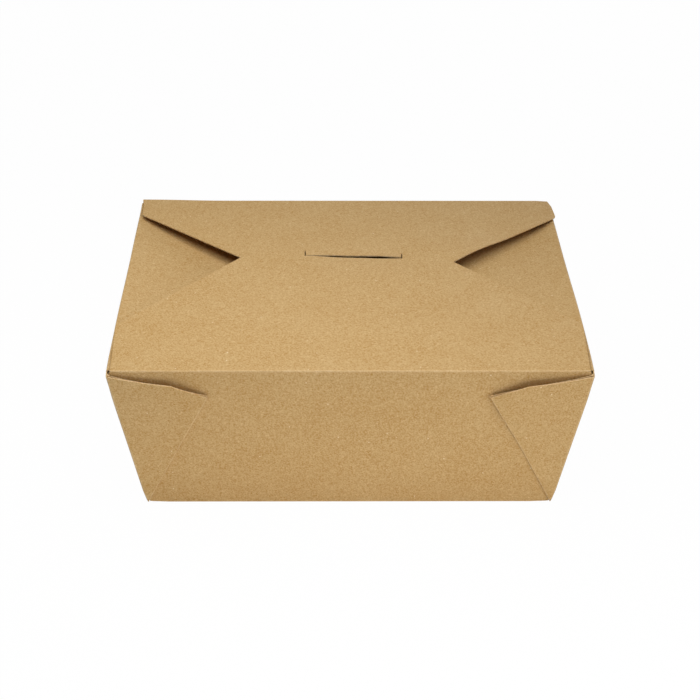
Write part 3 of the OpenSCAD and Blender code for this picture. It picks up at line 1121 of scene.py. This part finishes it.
class OBJECT_OT_set_box_stage(bpy.types.Operator):
    """Set the camera, the floor and the lights"""

    bl_idname = "object.set_takeaway_box_stage"
    bl_label = "Set Stage"
    bl_options = {"REGISTER", "UNDO"}

    def execute(self, context):
        settings = context.scene.kraft_stage
        yaw, pitch, roll = math.radians(0.707), math.radians(29.949), math.radians(0.339)
        ahead = Vector(
            (math.sin(yaw) * math.cos(pitch), math.cos(yaw) * math.cos(pitch), -math.sin(pitch))
        )
        right = Vector((math.cos(yaw), -math.sin(yaw), 0))
        up = right.cross(ahead)
        side = math.cos(roll) * right + math.sin(roll) * up
        top = math.cos(roll) * up - math.sin(roll) * right
        bpy.ops.object.camera_add(location=settings.camera_place)
        camera = context.object
        camera.matrix_world = Matrix.Translation(settings.camera_place) @ Matrix(
            (side, top, -ahead)
        ).transposed().to_4x4()
        camera.data.lens = settings.camera_lens
        camera.data.sensor_width = 36
        camera.data.clip_start = 0.01
        context.scene.camera = camera
        context.scene.view_settings.view_transform = "Standard"
        self.add_floor()
        self.light_room(context.scene, settings.room)
        front = (0, -0.05, 0.03)
        # Name, place, what it looks at, width and height, power
        for name, place, target, size, power in (
            ("top_light", (-0.03, -0.092, 0.31), front, (0.45, 0.25), settings.top_power),
            ("right_light", (0.7, -0.9, 0.3), front, (0.7, 0.7), settings.right_power),
            ("back_light", (0.3, 1.0, 0.3), front, (0.7, 0.7), settings.back_power),
            ("floor_light", (0, -0.33, 0.06), (0, -0.33, 0), (0.6, 0.15), settings.floor_power),
            (
                "floor_right_light",
                (0.15, -0.28, 0.1),
                (0.15, -0.28, 0),
                (0.5, 0.25),
                settings.floor_right_power,
            ),
        ):
            self.add_softbox(name, Vector(place), Vector(target), size, power)
        return {"FINISHED"}

    @staticmethod
    def add_floor():
        """Lays a pale floor that shows white to the camera but keeps the box's shadow."""
        bpy.ops.object.select_all(action="DESELECT")
        bpy.ops.mesh.primitive_plane_add(size=6, location=(0, 0, 0))
        floor = bpy.context.object
        floor.name = "floor"
        material = bpy.data.materials.new("pale_floor")
        material.use_nodes = True
        tree = material.node_tree
        shader = tree.nodes["Principled BSDF"]
        shader.inputs["Base Color"].default_value = (0.86, 0.86, 0.86, 1)
        shader.inputs["Roughness"].default_value = 0.9
        glow = add_node(tree, "ShaderNodeEmission", (-1, 2), {"Strength": 1.0})
        seen = add_maths(tree, (-1, 1), "MULTIPLY", white_rays(tree, -4), 0.985)
        mix = add_node(tree, "ShaderNodeMixShader", (1, 1))
        tree.links.new(seen, mix.inputs[0])
        tree.links.new(shader.outputs[0], mix.inputs[1])
        tree.links.new(glow.outputs[0], mix.inputs[2])
        tree.links.new(mix.outputs[0], tree.nodes["Material Output"].inputs["Surface"])
        floor.data.materials.append(material)

    @staticmethod
    def light_room(scene, level):
        """Fills the room with even light, and shows white behind the box."""
        world = bpy.data.worlds.new("soft_room")
        world.use_nodes = True
        scene.world = world
        tree = world.node_tree
        tree.nodes.clear()
        strength = add_maths(tree, (3, 0), "MULTIPLY_ADD", white_rays(tree, 0), 1 - level, level)
        room = add_node(tree, "ShaderNodeBackground", (4, 0), {"Color": (1, 1, 1, 1)})
        out = add_node(tree, "ShaderNodeOutputWorld", (5, 0))
        tree.links.new(strength, room.inputs["Strength"])
        tree.links.new(room.outputs[0], out.inputs["Surface"])

    @staticmethod
    def add_softbox(name, place, target, size, power):
        """Hangs a soft light of a given width and height that looks at a target."""
        bpy.ops.object.light_add(type="AREA", location=place)
        lamp = bpy.context.object
        lamp.name = name
        lamp.rotation_euler = (target - place).to_track_quat("-Z", "Y").to_euler()
        lamp.data.shape = "RECTANGLE"
        lamp.data.size, lamp.data.size_y = size
        lamp.data.energy = power
        lamp.visible_camera = False


class VIEW3D_PT_takeaway_box(bpy.types.Panel):
    """Lists the steps of the takeaway box with their settings"""

    bl_idname = "VIEW3D_PT_takeaway_box"
    bl_label = "Takeaway Box"
    bl_space_type = "VIEW_3D"
    bl_region_type = "UI"
    bl_category = "Takeaway Box"

    def draw(self, context):
        scene = context.scene
        for operator, groups in (
            (OBJECT_OT_mix_kraft, (scene.kraft_colours,)),
            (OBJECT_OT_fold_carton, (scene.kraft_board, scene.kraft_box)),
            (OBJECT_OT_fold_tab_flap, (scene.kraft_flaps,)),
            (OBJECT_OT_set_box_stage, (scene.kraft_stage,)),
        ):
            box = self.layout.box()
            box.operator(operator.bl_idname)
            for group in groups:
                for name in group.__annotations__:
                    box.prop(group, name)


CLASSES = (
    BoardSettings,
    BoxSettings,
    FlapSettings,
    KraftSettings,
    StageSettings,
    OBJECT_OT_mix_kraft,
    OBJECT_OT_fold_carton,
    OBJECT_OT_fold_tab_flap,
    OBJECT_OT_set_box_stage,
    VIEW3D_PT_takeaway_box,
)


def register():
    for cls in CLASSES:
        bpy.utils.register_class(cls)
    bpy.types.Scene.kraft_board = bpy.props.PointerProperty(type=BoardSettings)
    bpy.types.Scene.kraft_box = bpy.props.PointerProperty(type=BoxSettings)
    bpy.types.Scene.kraft_flaps = bpy.props.PointerProperty(type=FlapSettings)
    bpy.types.Scene.kraft_colours = bpy.props.PointerProperty(type=KraftSettings)
    bpy.types.Scene.kraft_stage = bpy.props.PointerProperty(type=StageSettings)


def unregister():
    del bpy.types.Scene.kraft_stage
    del bpy.types.Scene.kraft_colours
    del bpy.types.Scene.kraft_flaps
    del bpy.types.Scene.kraft_box
    del bpy.types.Scene.kraft_board
    for cls in reversed(CLASSES):
        bpy.utils.unregister_class(cls)


def main():
    register()
    bpy.ops.object.mix_takeaway_kraft()
    bpy.ops.object.fold_takeaway_carton()
    bpy.ops.object.fold_takeaway_tab_flap()
    bpy.ops.object.set_takeaway_box_stage()


if __name__ == "__main__":
    main()
